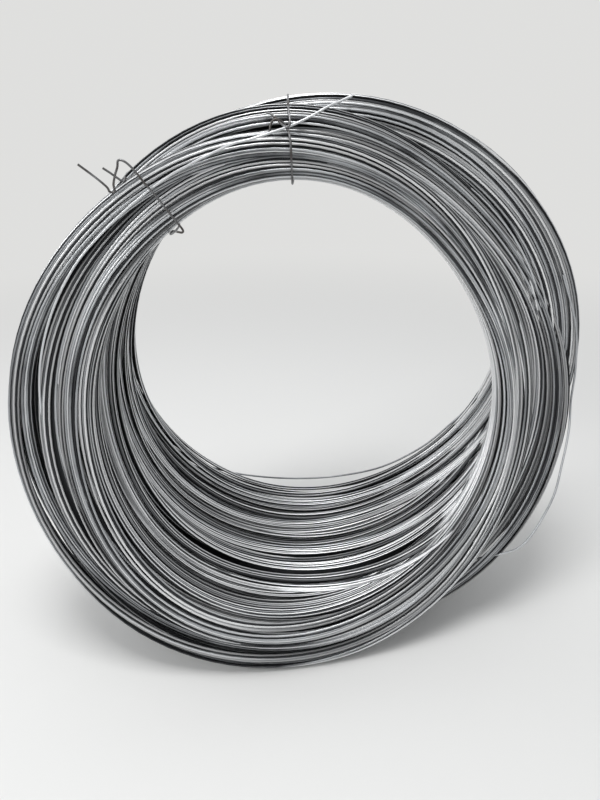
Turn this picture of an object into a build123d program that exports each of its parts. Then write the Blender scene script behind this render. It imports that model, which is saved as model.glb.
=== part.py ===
from build123d import *
from math import atan2, cos, hypot, pi, radians, sin, tan
import os

# Coil of steel wire, standing on its rim as it is stored on a floor
# +X to the right, +Y away from the viewer, +Z up, millimetres
# Three layers of turns, one behind the other, are tied together at the top and part at the foot.

# Size of the coil
ring_radius = 345.0
coil_depth = 293.0

# Layers of turns at eight stations, clockwise from the top of the ring
# Radii are shares of the ring's radius, depths are shares of the coil's depth
front_layer = {
    "inner_radius": (0.722, 0.643, 0.684, 0.730, 0.748, 0.774, 0.771, 0.754),
    "outer_radius": (0.861, 0.768, 0.826, 0.910, 0.994, 1.067, 1.078, 0.965),
    "front_depth": (0.512, 0.546, 0.512, 0.256, 0.007, 0.007, 0.253, 0.410),
    "back_depth": (0.683, 0.700, 0.683, 0.444, 0.273, 0.320, 0.478, 0.614),
}
middle_layer = {
    "inner_radius": (0.768, 0.725, 0.759, 0.725, 0.725, 0.739, 0.725, 0.759),
    "outer_radius": (0.942, 0.870, 0.991, 1.014, 0.994, 0.994, 0.986, 0.971),
    "front_depth": (0.546, 0.614, 0.580, 0.273, 0.170, 0.190, 0.390, 0.512),
    "back_depth": (0.802, 0.802, 0.819, 0.730, 0.670, 0.660, 0.690, 0.751),
}
rear_layer = {
    "inner_radius": (0.812, 0.797, 0.777, 0.704, 0.704, 0.710, 0.710, 0.759),
    "outer_radius": (0.986, 1.014, 1.032, 1.006, 0.994, 0.994, 0.986, 0.971),
    "front_depth": (0.648, 0.648, 0.642, 0.640, 0.570, 0.540, 0.600, 0.648),
    "back_depth": (0.850, 0.920, 1.000, 0.997, 1.000, 0.956, 0.800, 0.800),
}

# Corners of a layer: 0 is round, as where it is tied, 1 is square
top_squareness = 0.35
foot_squareness = 0.55

# Lays of turns that show as ridges, and the gaps between the layers
ridge_rise = 2.0
groove_depth = 2.5
parting_depth = 5.0
wide_lay_points = 5
narrow_lay_points = 3
station_count = 60

# Gap that opens in the front layer on the left
left_gap_depth = 20.0
left_gap_angle = 275.0
left_gap_point = 2

# Tie wires, each once round the bundle with its two ends crossed and left long
tie_wire_diameter = 2.4
tie_clearance = 0.6
tie_side_count = 6
tie_bend_radius = 5.0
bend_share = 0.45
tie_point_count = 11
top_tie_angle = -6.2
top_tie_knot_turn = 140.0
top_tie_arch = 0.0
top_tie_tail_length = 24.0
top_tie_tails = ((-0.9, 0.4, -0.4), (0.3, 0.7, -0.6))
left_tie_angle = -38.0
left_tie_knot_turn = 105.0
left_tie_arch = 16.0
left_tie_tail_length = 44.0
left_tie_tails = ((-0.8, 0.5, -0.4), (-0.1, 0.6, -0.3))

# Where the search for the partings of the layers looks
scan_steps = 50
scan_reach = 1.1 * pi


def round_the_ring(values, size):
    """A smooth closed curve through evenly spaced values, from the top of the ring clockwise."""
    count = len(values)

    def at(angle):
        total = 0
        for order in range(count // 2 + 1):
            weight = 1 if order in (0, count / 2) else 2
            for place, value in enumerate(values):
                total += weight * value * cos(order * (angle - 2 * pi * place / count)) / count
        return total * size

    return at


def section_box(layer):
    """Middle radius, half height, middle depth and half depth of a layer, at any angle."""
    inner = round_the_ring(layer["inner_radius"], ring_radius)
    outer = round_the_ring(layer["outer_radius"], ring_radius)
    front = round_the_ring(layer["front_depth"], coil_depth)
    back = round_the_ring(layer["back_depth"], coil_depth)
    return lambda angle: (
        (inner(angle) + outer(angle)) / 2,
        (outer(angle) - inner(angle)) / 2,
        (front(angle) + back(angle)) / 2,
        (back(angle) - front(angle)) / 2,
    )


front_box = section_box(front_layer)
middle_box = section_box(middle_layer)
rear_box = section_box(rear_layer)


def rounded_reach(turn, angle):
    """How far a rounded unit square reaches from its middle, at one turn round it."""
    foot_share = (1 - cos(angle)) / 2
    squareness = top_squareness + (foot_squareness - top_squareness) * foot_share
    to_square = 1 / max(abs(cos(turn)), abs(sin(turn)))
    return 1 + (to_square - 1) * squareness


def layer_point(box, angle, turn, rise=0.0):
    """Radius and depth of a point of a layer: turn 0 is its back, a quarter turn its outside."""
    middle_radius, half_height, middle_depth, half_depth = box(angle)
    reach = rounded_reach(turn, angle)
    height = half_height * sin(turn) * reach
    depth = half_depth * cos(turn) * reach
    grown = 1 + rise / hypot(height, depth)
    return middle_radius + height * grown, middle_depth + depth * grown


def turn_and_reach(box, angle, point):
    """The turn round a layer at which a point lies, and its reach: under 1 inside the layer."""
    middle_radius, half_height, middle_depth, half_depth = box(angle)
    height = (point[0] - middle_radius) / half_height
    depth = (point[1] - middle_depth) / half_depth
    turn = atan2(height, depth) % (2 * pi)
    return turn, hypot(height, depth) / rounded_reach(turn, angle)


def parting_turn(box, other, angle, start, direction):
    """The turn at which the surface of a layer, followed from a start, dips into another layer."""
    turns = [start + direction * scan_reach * step / scan_steps for step in range(scan_steps + 1)]
    reaches = [turn_and_reach(other, angle, layer_point(box, angle, turn))[1] for turn in turns]
    for turn, reach, before, before_reach in zip(turns[1:], reaches[1:], turns, reaches):
        if reach < 1:
            return before + (turn - before) * (before_reach - 1) / (before_reach - reach)
    return turns[reaches.index(min(reaches))]


def lay_points(box, angle, first, middle, last, count, gap_point=None):
    """Ridges and grooves, in turn, from one parting of a layer over its middle to the other."""
    points = []
    for number in range(1, count + 1):
        share = 2 * number / (count + 1) - 1
        turn = middle + share * (last - middle if share > 0 else middle - first)
        rise = ridge_rise if number % 2 else -groove_depth
        if number == gap_point:
            rise -= left_gap_depth * max(0, cos(angle - radians(left_gap_angle))) ** 1.5
        points.append(layer_point(box, angle, turn, rise))
    return points


def sunk_parting(point, angle):
    """A parting between two layers, drawn in towards the middle of the bundle."""
    middle_radius, _, middle_depth, _ = middle_box(angle)
    height = point[0] - middle_radius
    depth = point[1] - middle_depth
    share = 1 - parting_depth / hypot(height, depth)
    return middle_radius + height * share, middle_depth + depth * share


def section_points(angle):
    """Radius and depth of the outline of all the turns at one station."""
    front_out = parting_turn(front_box, middle_box, angle, pi, -1)
    front_in = parting_turn(front_box, middle_box, angle, pi, 1)
    rear_in = parting_turn(rear_box, middle_box, angle, 0, -1)
    rear_out = parting_turn(rear_box, middle_box, angle, 0, 1)
    partings = [
        layer_point(front_box, angle, front_in),
        layer_point(rear_box, angle, rear_in),
        layer_point(rear_box, angle, rear_out),
        layer_point(front_box, angle, front_out),
    ]
    in_first, in_last, out_first, out_last = (
        turn_and_reach(middle_box, angle, parting)[0] for parting in partings
    )
    if in_last < in_first:
        in_last += 2 * pi
    if out_first > out_last:
        out_first -= 2 * pi
    sunk = [sunk_parting(parting, angle) for parting in partings]
    in_middle = (in_first + in_last) / 2
    out_middle = (out_first + out_last) / 2
    points = lay_points(front_box, angle, front_out, pi, front_in, wide_lay_points, left_gap_point)
    points.append(sunk[0])
    points += lay_points(middle_box, angle, in_first, in_middle, in_last, narrow_lay_points)
    points.append(sunk[1])
    points += lay_points(rear_box, angle, rear_in, 0, rear_out, wide_lay_points)
    points.append(sunk[2])
    points += lay_points(middle_box, angle, out_first, out_middle, out_last, narrow_lay_points)
    points.append(sunk[3])
    return points


def place(angle, radius, depth):
    """A point in space from its station, its radius and its depth."""
    return Vector(radius * sin(angle), depth, radius * cos(angle))


def half_ring(first, last):
    """Half of the ring, lofted through its stations."""
    steps = station_count // 2
    sections = []
    for step in range(steps + 1):
        angle = first + (last - first) * step / steps
        points = [place(angle, radius, depth) for radius, depth in section_points(angle)]
        sections.append(Wire.make_polygon(points, close=True))
    return Solid.make_loft(sections, ruled=True)


def outline_between_stations(angle):
    """Radius and depth of the lofted outline at any angle, where it runs straight between two stations."""
    station_turn = 2 * pi / station_count
    before = angle // station_turn * station_turn
    after = before + station_turn
    across = Vector(cos(angle), 0, -sin(angle))
    outward = Vector(sin(angle), 0, cos(angle))
    outline = []
    for near, far in zip(section_points(before), section_points(after)):
        near = place(before, *near)
        far = place(after, *far)
        point = near + (far - near) * (near.dot(across) / (near - far).dot(across))
        outline.append((point.dot(outward), point.Y))
    return outline


def tie_corners(angle, knot_turn, arch):
    """Corners of a tie wire drawn tight over the ridges, as radius and depth, from its knot round."""
    outline = outline_between_stations(angle)
    stand_off = tie_wire_diameter / 2 + tie_clearance
    sides = []
    for step in range(tie_point_count + 1):
        turn = knot_turn + 2 * pi * (step - 0.5) / tie_point_count
        reach = max(radius * sin(turn) + depth * cos(turn) for radius, depth in outline)
        sides.append((turn, reach + stand_off + (arch if step == 1 else 0)))
    corners = []
    for (turn, reach), (next_turn, next_reach) in zip(sides, sides[1:]):
        spread = sin(next_turn - turn)
        depth = (reach * sin(next_turn) - next_reach * sin(turn)) / spread
        radius = (next_reach * cos(turn) - reach * cos(next_turn)) / spread
        corners.append((radius, depth))
    return corners + corners[:1]


def bend_radii(points):
    """The bend at each inner point, or the largest one that its two runs leave room for."""
    radii = []
    for before, here, after in zip(points, points[1:], points[2:]):
        run_in = here - before
        run_out = after - here
        half_turn = radians(run_in.get_angle(run_out)) / 2
        room = bend_share * min(run_in.length, run_out.length) / tan(half_turn)
        radii.append(min(tie_bend_radius, room))
    return radii


def tie(angle, knot_turn, arch, tail_length, tails):
    """A tie wire: one tail, once round the bundle, then past its start into the other tail."""
    angle = radians(angle)
    along = Vector(cos(angle), 0, -sin(angle))
    side_gap = (tie_wire_diameter + tie_clearance) / 2
    points = []
    for step, (radius, depth) in enumerate(tie_corners(angle, radians(knot_turn), arch)):
        sideways = side_gap * (2 * step / tie_point_count - 1)
        points.append(place(angle, radius, depth) + along * sideways)
    first, last = (
        points[end] + (place(angle, outward, depth) + along * sideways) * tail_length
        for end, (sideways, outward, depth) in zip((0, -1), tails)
    )
    points = [first, *points, last]
    path = FilletPolyline(*points, radius=bend_radii(points))
    profile = Plane(path @ 0, z_dir=path % 0) * RegularPolygon(tie_wire_diameter / 2, tie_side_count)
    return sweep(profile, path=path)


wire_coil = half_ring(0, pi).fuse(half_ring(pi, 2 * pi))
coil_box = wire_coil.bounding_box()
to_floor = Pos(-coil_box.center().X, -coil_box.center().Y, -coil_box.min.Z)

parts = {
    "wire_coil": wire_coil,
    "tie_top": tie(top_tie_angle, top_tie_knot_turn, top_tie_arch, top_tie_tail_length, top_tie_tails),
    "tie_left": tie(left_tie_angle, left_tie_knot_turn, left_tie_arch, left_tie_tail_length, left_tie_tails),
}

if __name__ == "__main__":
    os.makedirs("parts", exist_ok=True)
    for name, solid in parts.items():
        placed = to_floor * solid
        export_step(placed, f"parts/{name}.step")
        print(name, placed.is_valid, round(placed.volume), placed.bounding_box().size)
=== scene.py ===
import math

import bpy
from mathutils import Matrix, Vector


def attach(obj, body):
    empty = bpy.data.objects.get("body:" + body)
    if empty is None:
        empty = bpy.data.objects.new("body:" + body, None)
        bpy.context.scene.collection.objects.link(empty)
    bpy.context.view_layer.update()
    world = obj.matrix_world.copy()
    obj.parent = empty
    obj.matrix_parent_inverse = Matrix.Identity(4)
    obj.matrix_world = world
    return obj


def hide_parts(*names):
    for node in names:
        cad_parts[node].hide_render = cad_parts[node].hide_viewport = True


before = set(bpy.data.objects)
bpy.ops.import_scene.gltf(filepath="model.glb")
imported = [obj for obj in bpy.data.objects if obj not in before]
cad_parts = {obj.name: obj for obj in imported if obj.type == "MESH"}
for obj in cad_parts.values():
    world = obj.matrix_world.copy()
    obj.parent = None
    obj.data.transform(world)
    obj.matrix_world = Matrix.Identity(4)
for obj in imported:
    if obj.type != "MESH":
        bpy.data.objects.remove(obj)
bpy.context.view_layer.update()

# The inside of the coil
# One length of steel wire, wound into three layers of turns that are tied together at the top and fan
# out at the foot. The turns that can't be seen are drawn as one plain ring inside each layer, painted
# near-black as painted shade: the same steel, dark only because light does not reach it.
RING_CENTRE = Vector((0.0076, -0.1423, 0.3467))
STATIONS = 110
CORE_SIDES = 20
CORE_REACH = 0.6
CORE_SHADE_COLOR = (0.05, 0.052, 0.056, 1)
CORE_METALLIC = 0.6
CORE_ROUGHNESS = 0.6


def round_the_ring(values):
    """A smooth closed curve through evenly spaced values, from the top of the ring clockwise."""
    count = len(values)

    def at(angle):
        total = 0.0
        for order in range(count // 2 + 1):
            weight = 1 if order in (0, count / 2) else 2
            for place, value in enumerate(values):
                total += weight * value * math.cos(order * (angle - math.tau * place / count)) / count
        return total

    return at


def ring_point(angle, radius, depth):
    """A point in space from its angle round the ring, its radius and its depth, in millimetres."""
    across = radius / 1000 * math.sin(angle)
    up = radius / 1000 * math.cos(angle)
    return RING_CENTRE + Vector((across, depth / 1000, up))


def layer_of_turns(inner_radius, outer_radius, front_depth, back_depth):
    """The edges of a layer as curves, from millimetres at eight stations clockwise from the top."""
    return tuple(map(round_the_ring, (inner_radius, outer_radius, front_depth, back_depth)))


def layer_point(layer, angle, out_part, back_part):
    """A point of a layer, some part of the way from its inside out and from its front back."""
    inner, outer, front, back = layer
    radius = inner(angle) * (1 - out_part) + outer(angle) * out_part
    depth = front(angle) * (1 - back_part) + back(angle) * back_part
    return ring_point(angle, radius, depth)


def core_ring(name, layer):
    """The turns hidden inside a layer, as one plain ring."""
    points = []
    faces = []
    for station in range(STATIONS):
        angle = math.tau * station / STATIONS
        here = station * CORE_SIDES
        beyond = (station + 1) % STATIONS * CORE_SIDES
        for step in range(CORE_SIDES):
            turned = math.tau * step / CORE_SIDES
            out_part = 0.5 + 0.5 * CORE_REACH * math.sin(turned)
            back_part = 0.5 + 0.5 * CORE_REACH * math.cos(turned)
            points.append(layer_point(layer, angle, out_part, back_part))
            after = (step + 1) % CORE_SIDES
            faces.append((here + step, here + after, beyond + after, beyond + step))
    mesh = bpy.data.meshes.new(name)
    mesh.from_pydata(points, [], faces)
    return mesh


FRONT_LAYER = layer_of_turns(
    inner_radius=(249, 222, 236, 252, 258, 267, 266, 260),
    outer_radius=(297, 265, 285, 314, 343, 366, 370, 333),
    front_depth=(150, 160, 150, 75, 4, 4, 76, 120),
    back_depth=(200, 205, 200, 130, 80, 94, 140, 180),
)
MIDDLE_LAYER = layer_of_turns(
    inner_radius=(265, 250, 262, 250, 250, 255, 250, 262),
    outer_radius=(325, 300, 342, 350, 343, 343, 340, 335),
    front_depth=(160, 180, 170, 80, 50, 56, 114, 150),
    back_depth=(235, 235, 240, 214, 196, 193, 202, 220),
)
REAR_LAYER = layer_of_turns(
    inner_radius=(280, 275, 268, 243, 243, 245, 245, 262),
    outer_radius=(340, 350, 356, 347, 343, 343, 340, 335),
    front_depth=(190, 190, 188, 188, 167, 158, 176, 190),
    back_depth=(249, 268, 290, 290, 291, 278, 234, 234),
)

# The near-black of the hidden ring is painted shade, not a colour of the steel.
core_shade_finish = bpy.data.materials.new("hidden_turns_painted_shade")
core_shade_finish.use_nodes = True
hidden_shader = core_shade_finish.node_tree.nodes["Principled BSDF"]
hidden_shader.inputs["Base Color"].default_value = CORE_SHADE_COLOR
hidden_shader.inputs["Metallic"].default_value = CORE_METALLIC
hidden_shader.inputs["Roughness"].default_value = CORE_ROUGHNESS
for name, layer in (("core_front", FRONT_LAYER), ("core_middle", MIDDLE_LAYER), ("core_rear", REAR_LAYER)):
    ring = core_ring(name, layer)
    ring.materials.append(core_shade_finish)
    core = bpy.data.objects.new(name, ring)
    bpy.context.scene.collection.objects.link(core)
    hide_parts("wire_coil")
    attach(core, "root")

# The turns that show
# Drawn steel wire with a thin skin of zinc, not quite 3 mm thick, laid here in 610 turns. Turns wound
# one after the other lie side by side in ribbons, and the ribbons drift over one another round the ring.
WIRE = 0.0028
TURN_PITCH = WIRE * 1.18
WIRE_SIDES = 6
RIBBON_TURNS = 5
RIBBON_DRIFT = 0.045
RIBBON_SINK = 0.006
RIBBON_CROWN = 0.0015
TURN_STRAY = 0.0020
TURN_UNEVENNESS = 0.0028
SEED_STEP = 3.7


class Value:
    """An output socket of a node, with arithmetic that adds Math nodes."""

    def __init__(self, maker, node, output=0):
        self.maker = maker
        self.node = node
        self.socket = node.outputs[output] if len(node.outputs) else None

    def __getitem__(self, output):
        return Value(self.maker, self.node, output)

    def math(self, operation, *others):
        return self.maker.node("ShaderNodeMath", {"operation": operation}, dict(enumerate((self, *others))))

    def clamped(self, low, high):
        return self.math("MAXIMUM", low).math("MINIMUM", high)

    def __add__(self, other):
        return self.math("ADD", other)

    __radd__ = __add__

    def __mul__(self, other):
        return self.math("MULTIPLY", other)

    __rmul__ = __mul__

    def __sub__(self, other):
        return self.math("SUBTRACT", other)

    def __rsub__(self, other):
        return (self * -1) + other

    def __truediv__(self, other):
        return self.math("DIVIDE", other)

    def __rtruediv__(self, other):
        return self.maker.node("ShaderNodeMath", {"operation": "DIVIDE"}, {0: other, 1: self})


class Maker:
    """Adds nodes to one tree, linking the values that it is given."""

    def __init__(self, tree):
        self.tree = tree

    def node(self, kind, settings=None, inputs=None, output=0):
        node = self.tree.nodes.new(kind)
        for name, setting in (settings or {}).items():
            if name == "stops":
                self.set_stops(node.color_ramp, setting)
            else:
                setattr(node, name, setting)
        for name, value in (inputs or {}).items():
            if isinstance(value, Value):
                self.tree.links.new(value.socket, node.inputs[name])
            else:
                node.inputs[name].default_value = value
        return Value(self, node, output)

    def set_stops(self, ramp, stops):
        while len(ramp.elements) < len(stops):
            ramp.elements.new(0.5)
        for element, (position, color) in zip(ramp.elements, stops):
            element.position = position
            element.color = color

    def mix(self, kind, share, first, second):
        """A Mix node, which has one pair of sockets for vectors and another for colours."""
        pair, output = {"VECTOR": (4, 1), "RGBA": (6, 2)}[kind]
        sockets = {0: share, pair: first, pair + 1: second}
        return self.node("ShaderNodeMix", {"data_type": kind}, sockets, output)


def open_tree(name, inputs, output):
    """A new Geometry Nodes tree with named inputs, the maker of its nodes and its input node."""
    tree = bpy.data.node_groups.new(name, "GeometryNodeTree")
    for title, kind in inputs:
        tree.interface.new_socket(title, in_out="INPUT", socket_type="NodeSocket" + kind)
    tree.interface.new_socket(output, in_out="OUTPUT", socket_type="NodeSocketGeometry")
    make = Maker(tree)
    return tree, make, make.node("NodeGroupInput")


def mark(make, curves, name, value, kind="FLOAT"):
    """Stores a value on the points of the curves, for the material to read."""
    return make.node(
        "GeometryNodeStoreNamedAttribute",
        {"data_type": kind, "domain": "POINT"},
        {"Geometry": curves, "Name": name, "Value": value},
    )


def close_tree(make, given, curves, output, caps):
    """Gives the curves the round section and the finish of the wire, as the output of the tree."""
    section = {"Resolution": given["Sides"], "Radius": given["Wire"] * 0.5}
    profile = make.node("GeometryNodeCurvePrimitiveCircle", {}, section)
    tube = {"Curve": curves, "Profile Curve": profile, "Fill Caps": caps}
    tubes = make.node("GeometryNodeCurveToMesh", {}, tube)
    smooth = make.node("GeometryNodeSetShadeSmooth", {}, {"Geometry": tubes})
    real = make.node("GeometryNodeRealizeInstances", {}, {"Geometry": smooth})
    finished = make.node("GeometryNodeSetMaterial", {}, {"Geometry": real, "Material": given["Finish"]})
    make.node("NodeGroupOutput", {}, {output: finished})


def turns_tree():
    """Lays closed turns of wire side by side in ribbons, over the four edge loops of a bunch."""
    inputs = (
        ("Edges", "Geometry"),
        ("Ribbons", "Int"),
        ("Ribbon Turns", "Int"),
        ("Stations", "Int"),
        ("Wire", "Float"),
        ("Pitch", "Float"),
        ("Sides", "Int"),
        ("Drift", "Float"),
        ("Sink", "Float"),
        ("Crown", "Float"),
        ("Stray", "Float"),
        ("Unevenness", "Float"),
        ("Seed", "Float"),
        ("Finish", "Material"),
    )
    tree, make, given = open_tree("lay_turns", inputs, "Turns")

    # One circle for each turn, whose points are then carried to their places
    count = given["Ribbons"] * given["Ribbon Turns"]
    starts = make.node("GeometryNodeMeshLine", {"mode": "OFFSET"}, {"Count": count})
    circle = make.node("GeometryNodeCurvePrimitiveCircle", {}, {"Resolution": given["Stations"]})
    placed = make.node("GeometryNodeInstanceOnPoints", {}, {"Points": starts, "Instance": circle})
    turns = make.node("GeometryNodeRealizeInstances", {}, {"Geometry": placed})
    station = make.node("GeometryNodeSplineParameter")["Index"]
    turn = make.node("GeometryNodeCurveOfPoint")["Curve Index"]
    angle = station * math.tau / given["Stations"]
    sideways = angle.math("SINE")
    upwards = angle.math("COSINE")
    ribbon = (turn / given["Ribbon Turns"]).math("FLOOR")
    member = turn - ribbon * given["Ribbon Turns"]
    every_second = member.math("MODULO", 2)
    side = (member + 0.5) / given["Ribbon Turns"] - 0.5

    # The corners of the bunch at this station, and its girth
    position = make.node("GeometryNodeInputPosition")

    def corner_at(corner):
        index = given["Stations"] * corner + station
        return make.node(
            "GeometryNodeSampleIndex",
            {"data_type": "FLOAT_VECTOR"},
            {"Geometry": given["Edges"], "Value": position, "Index": index},
        )

    front_inner, front_outer, back_inner, back_outer = map(corner_at, range(4))

    def apart(first, second):
        return make.node("ShaderNodeVectorMath", {"operation": "DISTANCE"}, {0: first, 1: second}, output=1)

    thickness = apart(front_inner, front_outer)
    depth_across = apart(front_inner, back_inner)
    girth = thickness + apart(front_outer, back_outer) + apart(back_outer, back_inner) + depth_across

    # Neighbouring ribbons drift and sink together, each also by itself, and so does every turn in it.
    # Rows of noise that lie close together are alike, and rows that lie far apart are not.
    close_rows = 0.35
    far_rows = 7.31
    turn_rows = 5.53

    def noise(reach, row):
        place = make.node("ShaderNodeCombineXYZ", {}, {0: sideways * reach, 1: upwards * reach, 2: row})
        field = make.node(
            "ShaderNodeTexNoise",
            {"noise_dimensions": "4D"},
            {"Vector": place, "W": given["Seed"], "Scale": 1.0, "Detail": 0.0},
        )["Color"]
        return make.node("ShaderNodeSeparateXYZ", {}, {0: field})

    def chance(seed):
        drawn = {"ID": turn, "Seed": seed}
        return make.node("FunctionNodeRandomValue", {"data_type": "FLOAT"}, drawn, output=1)

    shared = noise(reach=0.6, row=ribbon * close_rows)
    single = noise(reach=0.9, row=ribbon * far_rows + 50.0)
    own = noise(reach=1.1, row=turn * turn_rows + 90.0)

    # A few turns stray further than the rest
    keep_in_line = 0.95
    further = 4.0
    stray = given["Stray"] * (1.0 + chance(seed=11).math("GREATER_THAN", keep_in_line) * further)

    # How wide the ribbon is here, and how far round the girth its turns lie
    narrowest = 0.7
    widening = 0.5
    shared_drift = 0.8
    single_drift = 0.3
    room = girth / given["Ribbons"]
    full_width = given["Ribbon Turns"] * given["Pitch"] * (narrowest + single["X"] * widening)
    width = full_width.math("MINIMUM", room)
    drift = (shared["X"] - 0.5) * shared_drift + (single["Z"] - 0.5) * single_drift
    shift = drift * given["Drift"] + side * width + (own["X"] - 0.5) * stray
    way_round = (ribbon + 0.5) / given["Ribbons"] + shift / girth

    # Where a ribbon is narrow, every second turn is pressed down between its neighbours. Every second
    # ribbon lies half a wire lower, and the turns at the edges of a ribbon lie lower than its middle.
    touching = 1.05
    least_pressed = 0.06
    pressed_depth = 1.2
    lower_ribbon = 0.5
    sink_level = 0.45
    uneven_level = 0.4
    spacing = width / given["Ribbon Turns"] / given["Wire"]
    pressed = (touching - spacing * spacing).math("MAXIMUM", least_pressed).math("SQRT") * every_second
    under = ribbon.math("MODULO", 2) * lower_ribbon
    buried = (pressed * pressed_depth + under) * given["Wire"]
    crown = side * side * 4.0 * given["Crown"]
    sink = ((shared["Y"] + single["Y"]) * 0.5 - sink_level) * given["Sink"]
    depth = sink + (own["Y"] - uneven_level) * given["Unevenness"] + crown + buried

    # How far out from the middle of the bunch: the girth of a square is eight times half its side
    half_sides_round = 8.0
    least_reach = 0.05
    reach = (1.0 - depth * half_sides_round / girth).math("MAXIMUM", least_reach)

    # Along the edges of the bunch, rounded where the ties hold it and squarer where it fans out
    def along_edge(start, length):
        wave = 1.0 - ((way_round - start) * 2.0).math("PINGPONG", 1.0) * 2.0
        return (wave * (thickness + depth_across) / length).clamped(-1.0, 1.0)

    mean_squareness = 0.45
    squareness_change = 0.10
    back = along_edge(0.0, depth_across)
    out = along_edge(0.25, thickness)
    back_way = back * back * back * thickness
    out_way = out * out * out * depth_across
    squareness = mean_squareness - upwards * squareness_change
    reach = reach * (squareness + (1.0 - squareness) / (back * back + out * out).math("SQRT")) * 0.5
    back = (back * reach + 0.5).clamped(0.0, 1.0)
    out = (out * reach + 0.5).clamped(0.0, 1.0)
    front_place = make.mix("VECTOR", out, front_inner, front_outer)
    back_place = make.mix("VECTOR", out, back_inner, back_outer)
    place = make.mix("VECTOR", back, front_place, back_place)

    # No turn goes into the floor
    parts = make.node("ShaderNodeSeparateXYZ", {}, {0: place})
    height = parts["Z"].math("MAXIMUM", given["Wire"] * 0.5)
    place = make.node("ShaderNodeCombineXYZ", {}, {0: parts["X"], 1: parts["Y"], 2: height})
    laid = make.node("GeometryNodeSetPosition", {}, {"Geometry": turns, "Position": place})

    # What the material reads: the tone of each turn, which is painted shade or painted sheen, how deep
    # it is buried, for painted shade, and which way is out, for the painted shade in the grooves
    chance_share = 0.55
    own_share = 0.35
    tone_level = 0.12
    second_turn_shade = 0.22
    # How deep a turn lies sets its painted shade: from half a wire down it is painted darker.
    dark_from = 0.5
    darkening = 1.1
    # Each turn's shade is a painted tone, and every second turn is painted darker, as shade between wires.
    shade = chance(seed=5) * chance_share + own["Z"] * own_share + tone_level
    shade = shade - every_second * second_turn_shade
    hidden = (depth / given["Wire"] - dark_from) * darkening
    way_out = {0: sideways * out_way, 1: back_way, 2: upwards * out_way}
    outward = make.node("ShaderNodeCombineXYZ", {}, way_out)
    marked = mark(make, laid, "shade", shade)
    marked = mark(make, marked, "buried", hidden)
    marked = mark(make, marked, "outward", outward, "FLOAT_VECTOR")
    close_tree(make, given, marked, "Turns", caps=False)
    return tree


def open_material(name):
    """A new material without nodes, and the maker of its nodes."""
    material = bpy.data.materials.new(name)
    material.use_nodes = True
    material.node_tree.nodes.clear()
    return material, Maker(material.node_tree)


def wire_material():
    """Drawn steel with a thin grey zinc skin, satin; turns are painted darker as shade, brighter as sheen.
    """
    material, make = open_material("zinc_grey_wire")
    place = make.node("ShaderNodeTexCoord")["Object"]
    cloud = make.node("ShaderNodeTexNoise", {}, {"Vector": place, "Scale": 14.0, "Detail": 4.0})
    grain = make.node("ShaderNodeTexNoise", {}, {"Vector": place, "Scale": 900.0, "Detail": 2.0})

    # The tone of each turn, from painted shade on those that lie in shade to painted sheen on the brightest
    turn_share = 0.85
    cloud_share = 0.15
    painted_turn_tones = (
        (0.32, (0.05, 0.052, 0.056, 1)),
        (0.39, (0.46, 0.475, 0.49, 1)),
        (0.50, (0.76, 0.775, 0.79, 1)),
        (0.66, (0.96, 0.965, 0.97, 1)),
    )
    shade = make.node("ShaderNodeAttribute", {"attribute_name": "shade"})["Fac"]
    tone = shade * turn_share + cloud * cloud_share
    bare = make.node("ShaderNodeValToRGB", {"stops": painted_turn_tones}, {"Fac": tone})

    # Painted shade in the grooves, where the side of a turn faces its neighbour, and on the buried turns,
    # darker the deeper they lie. A single wire has no outward direction stored, and so no groove shade.
    buried_shade_strength = 0.88
    groove_shade_strength = 0.97
    groove_shade_color = (0.02, 0.021, 0.023, 1)
    buried = make.node("ShaderNodeAttribute", {"attribute_name": "buried"})["Fac"].clamped(0.0, 1.0)
    outward = make.node("ShaderNodeAttribute", {"attribute_name": "outward"})
    straight_out = make.node("ShaderNodeVectorMath", {"operation": "NORMALIZE"}, {0: outward["Vector"]})
    normal = make.node("ShaderNodeNewGeometry")["Normal"]
    directions = {0: straight_out, 1: normal}
    facing = make.node("ShaderNodeVectorMath", {"operation": "DOT_PRODUCT"}, directions, output=1)
    groove = make.node(
        "ShaderNodeMapRange",
        {"interpolation_type": "SMOOTHSTEP"},
        {"Value": facing, "From Min": 0.50, "From Max": 0.97, "To Min": 1.0, "To Max": 0.0},
    )
    in_a_bunch = (outward["Fac"] * 1000).math("MINIMUM", 1.0)
    darkness = (buried * buried_shade_strength).math("MAXIMUM", groove * in_a_bunch * groove_shade_strength)
    color = make.mix("RGBA", darkness, bare, groove_shade_color)

    least_rough = 0.26
    cloud_rough = 0.16
    grain_rough = 0.06
    rough = least_rough + cloud * cloud_rough + grain * grain_rough
    bump = make.node("ShaderNodeBump", {}, {"Height": grain, "Strength": 0.05, "Distance": 0.0002})
    skin = {"Base Color": color, "Roughness": rough, "Metallic": 0.7, "Normal": bump}
    shader = make.node("ShaderNodeBsdfPrincipled", {}, skin)
    make.node("ShaderNodeOutputMaterial", {}, {"Surface": shader})
    return material


def as_mesh(name, edges, tree, settings):
    """Runs a tree on an edge mesh and keeps the result as a plain mesh object."""
    carrier = bpy.data.objects.new(name + "_edges", edges)
    bpy.context.scene.collection.objects.link(carrier)
    modifier = carrier.modifiers.new("lay", "NODES")
    modifier.node_group = tree
    for item in tree.interface.items_tree:
        if item.in_out == "INPUT" and item.name in settings:
            modifier[item.identifier] = settings[item.name]
    evaluated = carrier.evaluated_get(bpy.context.evaluated_depsgraph_get())
    mesh = bpy.data.meshes.new_from_object(evaluated)
    mesh.name = name
    bpy.data.objects.remove(carrier)
    piece = bpy.data.objects.new(name, mesh)
    bpy.context.scene.collection.objects.link(piece)
    return piece


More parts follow.
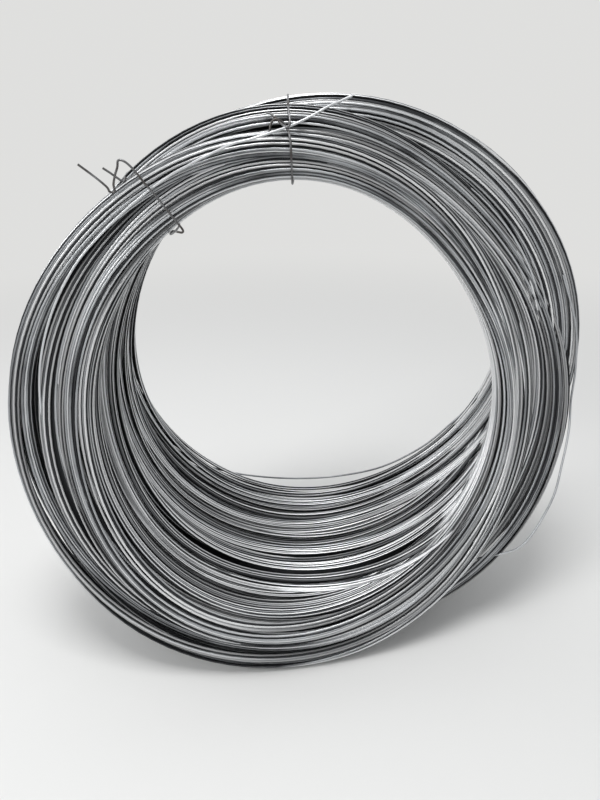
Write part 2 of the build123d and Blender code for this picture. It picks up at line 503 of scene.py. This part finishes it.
def edge_share(plain, gap=0.0, gap_angle=0.0):
    """Where a bunch ends across its layer, moved by the gap that opens at an angle round the ring."""
    middle = math.radians(gap_angle)
    gap_sharpness = 1.5
    return lambda angle: plain + gap * max(0.0, math.cos(angle - middle)) ** gap_sharpness


def bunch_edges(name, layer, out_shares, back_shares):
    """The edge loops of a bunch of turns: front inner, front outer, back inner, back outer."""
    points = []
    for back_share in back_shares:
        for out_share in out_shares:
            for station in range(STATIONS):
                angle = math.tau * station / STATIONS
                points.append(layer_point(layer, angle, out_share(angle), back_share(angle)))
    mesh = bpy.data.meshes.new(name)
    mesh.from_pydata(points, [], [])
    return mesh


# Each bunch: its layer, its ribbons, and where in the layer it lies, from inside out and front to back
LEFT_GAP_ANGLE = 275
WHOLE = (edge_share(0), edge_share(1))
FRONT_PART = (edge_share(0), edge_share(0.55))
BACK_PART = (edge_share(0.45), edge_share(1))
JUST_INSIDE = (edge_share(0.06), edge_share(0.94))
WELL_INSIDE = (edge_share(0.1), edge_share(0.9))
OUTSIDE_THE_GAP = (edge_share(0.42, 0.28, LEFT_GAP_ANGLE), edge_share(1))
INSIDE_THE_GAP = (edge_share(0), edge_share(0.58, -0.08, LEFT_GAP_ANGLE))
BUNCHES = (
    ("turns_front_outer", FRONT_LAYER, 11, OUTSIDE_THE_GAP, WHOLE),
    ("turns_front_inner", FRONT_LAYER, 13, INSIDE_THE_GAP, WHOLE),
    ("turns_front_hidden", FRONT_LAYER, 12, JUST_INSIDE, WELL_INSIDE),
    ("turns_middle_front", MIDDLE_LAYER, 16, WHOLE, FRONT_PART),
    ("turns_middle_back", MIDDLE_LAYER, 16, WHOLE, BACK_PART),
    ("turns_middle_hidden", MIDDLE_LAYER, 12, JUST_INSIDE, JUST_INSIDE),
    ("turns_rear_front", REAR_LAYER, 15, WHOLE, FRONT_PART),
    ("turns_rear_back", REAR_LAYER, 15, WHOLE, BACK_PART),
    ("turns_rear_hidden", REAR_LAYER, 12, JUST_INSIDE, JUST_INSIDE),
)
wire_finish = wire_material()
lay_turns = turns_tree()
for number, (name, layer, ribbons, out_shares, back_shares) in enumerate(BUNCHES):
    settings = {
        "Ribbons": ribbons,
        "Ribbon Turns": RIBBON_TURNS,
        "Stations": STATIONS,
        "Wire": WIRE,
        "Pitch": TURN_PITCH,
        "Sides": WIRE_SIDES,
        "Drift": RIBBON_DRIFT,
        "Sink": RIBBON_SINK,
        "Crown": RIBBON_CROWN,
        "Stray": TURN_STRAY,
        "Unevenness": TURN_UNEVENNESS,
        "Seed": number * SEED_STEP,
        "Finish": wire_finish,
    }
    turns = as_mesh(name, bunch_edges(name, layer, out_shares, back_shares), lay_turns, settings)
    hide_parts("wire_coil")
    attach(turns, "root")

# The free end of the wire and the loose turns
# The last of the wire lies over the tied bundle and goes into the gap on the left. One turn has sagged
# into the bore at the back of the foot, and one has slipped off the outside on the right.
LOOSE_WIRE_SIDES = 10
ROUTE_STEPS = 8

# The points of a route are an angle in degrees clockwise from the top of the ring, a radius and a depth
# in millimetres. They were traced from the photograph where it shows the wire, and guessed elsewhere.
FREE_END = (
    (6.1, 337, 188), (4.1, 331, 182), (1.7, 325, 173), (-1.9, 315, 163), (-5.8, 308, 154),
    (-10.8, 304, 142), (-14.3, 303, 137), (-17.6, 304, 135), (-21.5, 303, 134), (-25.0, 303, 131),
    (-28.0, 303, 129), (-30.8, 304, 128), (-36.2, 305, 126), (-42.5, 307, 123), (-50, 311, 116),
    (-58, 317, 108), (-68, 322, 100), (-78, 326, 92), (-88, 329, 86), (-98, 331, 80),
)
SAGGED_TURN = (
    (88, 290, 262), (96, 281, 276), (103.6, 276, 284), (111.4, 263, 285), (119.3, 254, 285),
    (133.7, 246, 285), (151.3, 238, 285), (168.6, 231, 285), (185, 232, 284), (201, 243, 283),
    (214, 258, 280), (226, 272, 274),
)
SLIPPED_TURN = (
    (66, 336, 190), (78, 343, 188), (88, 347, 186), (95.4, 349, 180), (101, 349, 158),
    (107.7, 347, 132), (115, 347, 106), (125.3, 344, 84), (132, 338, 92), (142, 326, 112),
)


def wire_tree():
    """A round wire bent smoothly through the points of a route, with closed ends."""
    inputs = (
        ("Route", "Geometry"),
        ("Wire", "Float"),
        ("Sides", "Int"),
        ("Steps", "Int"),
        ("Shade", "Float"),
        ("Finish", "Material"),
    )
    tree, make, given = open_tree("bend_wire", inputs, "Wires")
    line = make.node("GeometryNodeMeshToCurve", {}, {"Mesh": given["Route"]})
    bent = make.node("GeometryNodeCurveSplineType", {"spline_type": "CATMULL_ROM"}, {"Curve": line})
    fine = make.node("GeometryNodeSetSplineResolution", {}, {"Geometry": bent, "Resolution": given["Steps"]})
    marked = mark(make, fine, "shade", given["Shade"])
    close_tree(make, given, marked, "Wires", caps=True)
    return tree


def route_mesh(name, route):
    """A line through the points of a route."""
    points = [ring_point(math.radians(angle), radius, depth) for angle, radius, depth in route]
    mesh = bpy.data.meshes.new(name)
    mesh.from_pydata(points, [(number, number + 1) for number in range(len(points) - 1)], [])
    return mesh


bend_wire = wire_tree()
# Each loose wire's shade is a painted tone on the turns' ramp; the sagged turn in the bore is painted
# darker, as shade.
for name, route, shade in (
    ("free_end", FREE_END, 0.5),
    ("sagged_turn", SAGGED_TURN, 0.35),
    ("slipped_turn", SLIPPED_TURN, 0.4),
):
    settings = {
        "Wire": WIRE,
        "Sides": LOOSE_WIRE_SIDES,
        "Steps": ROUTE_STEPS,
        "Shade": shade,
        "Finish": wire_finish,
    }
    piece = as_mesh(name, route_mesh(name, route), bend_wire, settings)
    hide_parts("wire_coil")
    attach(piece, "root")

# The tie wires
# Two lengths of darker, thinner iron wire, each bent once round the bundle by hand. Their ends are
# crossed, twisted once and left long, and the left one stands off the turns in a small arch.
TIE_WIRE = 0.0024
TIE_SIDES = 12
TOP_TIE = (
    (-10.3, 325, 158), (-9.3, 322, 157), (-8.6, 318, 155), (-7.7, 312, 153), (-6.7, 307, 151),
    (-6.0, 309, 150), (-5.8, 314, 153), (-5.9, 321, 160), (-5.9, 328, 170), (-5.9, 333, 184),
    (-5.9, 337, 202), (-5.9, 338, 220), (-5.9, 336, 238), (-5.9, 327, 249), (-5.9, 310, 254),
    (-5.9, 290, 251), (-6.0, 274, 241), (-6.1, 263, 224), (-6.3, 255, 206), (-6.6, 250, 190),
    (-6.8, 248, 174), (-6.8, 250, 159), (-6.6, 257, 149), (-6.4, 268, 144), (-6.2, 282, 142),
    (-6.1, 292, 143), (-6.2, 300, 147), (-6.6, 306, 154), (-7.2, 312, 156), (-8.3, 316, 154),
    (-9.2, 315, 153), (-9.7, 311, 152), (-10.1, 305, 151),
)
LEFT_TIE = (
    (-40.4, 351, 122), (-40.1, 343, 124), (-39.9, 335, 127), (-39.9, 330, 133), (-40.2, 331, 150),
    (-40.6, 335, 170), (-41.0, 338, 195), (-41.2, 338, 222), (-41.3, 328, 239), (-41.3, 305, 243),
    (-41.3, 282, 241), (-41.4, 264, 230), (-41.5, 257, 210), (-41.5, 256, 175), (-41.0, 257, 150),
    (-39.8, 258, 134), (-38.4, 258, 126), (-37.5, 254, 123), (-36.7, 251, 122), (-36.1, 253, 121),
    (-36.1, 264, 121), (-36.1, 278, 121), (-36.1, 296, 121), (-36.2, 313, 120), (-36.1, 323, 118),
    (-36.1, 333, 116), (-36.4, 341, 115), (-37.1, 345, 115), (-38.0, 341, 115), (-39.3, 337, 115),
    (-40.7, 332, 116), (-41.7, 327, 120), (-42.3, 330, 118), (-41.9, 335, 115), (-42.0, 349, 112),
    (-42.3, 368, 107),
)


def tie_material():
    """Soft iron tie wire, darker and duller than the coil, with a little brown where it has aged."""
    material, make = open_material("dull_tie_wire")
    place = make.node("ShaderNodeTexCoord")["Object"]
    cloud = make.node("ShaderNodeTexNoise", {}, {"Vector": place, "Scale": 60.0, "Detail": 4.0})
    grain = make.node("ShaderNodeTexNoise", {}, {"Vector": place, "Scale": 1200.0, "Detail": 2.0})
    iron_tones = (
        (0.35, (0.11, 0.10, 0.095, 1)),
        (0.55, (0.20, 0.20, 0.205, 1)),
        (0.75, (0.32, 0.32, 0.33, 1)),
    )
    color = make.node("ShaderNodeValToRGB", {"stops": iron_tones}, {"Fac": cloud})
    least_rough = 0.34
    cloud_rough = 0.2
    rough = least_rough + cloud * cloud_rough
    bump = make.node("ShaderNodeBump", {}, {"Height": grain, "Strength": 0.2, "Distance": 0.0003})
    skin = {"Base Color": color, "Roughness": rough, "Metallic": 0.85, "Normal": bump}
    shader = make.node("ShaderNodeBsdfPrincipled", {}, skin)
    make.node("ShaderNodeOutputMaterial", {}, {"Surface": shader})
    return material


tie_finish = tie_material()
for name, route in (("tie_top", TOP_TIE), ("tie_left", LEFT_TIE)):
    settings = {"Wire": TIE_WIRE, "Sides": TIE_SIDES, "Steps": ROUTE_STEPS, "Finish": tie_finish}
    piece = as_mesh(name + "_wire", route_mesh(name + "_wire", route), bend_wire, settings)
    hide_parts(name)
    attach(piece, "root")

# The floor, the light and the camera
# A plain pale floor that fades into the backdrop, under soft light from above, seen from where the
# photograph was taken: about 0.67 m up, looking down by 26.6 degrees.
FLOOR_REACH = 6.0
FLOOR_COLOR = (0.78, 0.78, 0.77, 1)
FLOOR_FADES_FROM = 0.7
FLOOR_FADES_TO = 2.4
BACKDROP = (0.74, 0.74, 0.73, 1)
ROOM_IN_FRONT = (0.36, 0.365, 0.37, 1)
ROOM_BEHIND = (0.84, 0.85, 0.86, 1)
ROOM_CONTRAST = 0.7
COIL_MIDDLE = Vector((0, 0, 0.35))
CAMERA_PLACE = Vector((-0.0134, -0.6833, 0.6747))
CAMERA_PITCH = 26.6
PHOTO_FOCAL_PIXELS = 593
PHOTO_HEIGHT_PIXELS = 800
SENSOR = 36

floor_corners = [(x * FLOOR_REACH, y * FLOOR_REACH, 0) for x, y in ((-1, -1), (1, -1), (1, 1), (-1, 1))]
floor = bpy.data.meshes.new("floor")
floor.from_pydata(floor_corners, [], [(0, 1, 2, 3)])
floor_object = bpy.data.objects.new("floor", floor)
bpy.context.scene.collection.objects.link(floor_object)

floor_material, make = open_material("pale_floor")
place = make.node("ShaderNodeTexCoord")["Object"]
distance = make.node("ShaderNodeVectorMath", {"operation": "LENGTH"}, {0: place}, output=1)
fade = {"Value": distance, "From Min": FLOOR_FADES_FROM, "From Max": FLOOR_FADES_TO}
far = make.node("ShaderNodeMapRange", {"interpolation_type": "SMOOTHSTEP"}, fade)
seen = make.node("ShaderNodeLightPath")["Is Camera Ray"]
near_floor = make.node("ShaderNodeBsdfPrincipled", {}, {"Base Color": FLOOR_COLOR, "Roughness": 0.7})
far_floor = make.node("ShaderNodeEmission", {}, {"Color": BACKDROP})
blend = make.node("ShaderNodeMixShader", {}, {0: far * seen, 1: near_floor, 2: far_floor})
make.node("ShaderNodeOutputMaterial", {}, {"Surface": blend})
floor.materials.append(floor_material)

world = bpy.data.worlds.new("studio")
bpy.context.scene.world = world
world.use_nodes = True
world.node_tree.nodes.clear()
make = Maker(world.node_tree)
direction = make.node("ShaderNodeSeparateXYZ", {}, {0: make.node("ShaderNodeTexCoord")["Generated"]})
behind = (0.5 + direction["Y"] * ROOM_CONTRAST).clamped(0.0, 1.0)
room = make.mix("RGBA", behind, ROOM_IN_FRONT, ROOM_BEHIND)
seen = make.node("ShaderNodeLightPath")["Is Camera Ray"]
shown = make.mix("RGBA", seen, room, BACKDROP)
sky = make.node("ShaderNodeBackground", {}, {"Color": shown, "Strength": 1.0})
make.node("ShaderNodeOutputWorld", {}, {"Surface": sky})


def soft_lamp(name, place, size, power):
    """A large square lamp aimed at the middle of the coil."""
    lamp = bpy.data.lights.new(name, "AREA")
    lamp.shape = "SQUARE"
    lamp.size = size
    lamp.energy = power
    lamp_object = bpy.data.objects.new(name, lamp)
    lamp_object.location = place
    aim = COIL_MIDDLE - Vector(place)
    lamp_object.rotation_euler = aim.to_track_quat("-Z", "Y").to_euler()
    bpy.context.scene.collection.objects.link(lamp_object)


soft_lamp("ceiling_lamp", place=(-0.2, -0.4, 2.4), size=0.8, power=26)
soft_lamp("left_lamp", place=(-1.8, -1.2, 1.6), size=0.7, power=14)

camera = bpy.data.cameras.new("camera")
camera.sensor_width = SENSOR
camera.lens = PHOTO_FOCAL_PIXELS * SENSOR / PHOTO_HEIGHT_PIXELS
camera.clip_start = 0.01
camera_object = bpy.data.objects.new("camera", camera)
camera_object.location = CAMERA_PLACE
camera_object.rotation_euler = (math.radians(90 - CAMERA_PITCH), 0, 0)
bpy.context.scene.collection.objects.link(camera_object)
bpy.context.scene.camera = camera_object
bpy.context.scene.view_settings.view_transform = "Standard"
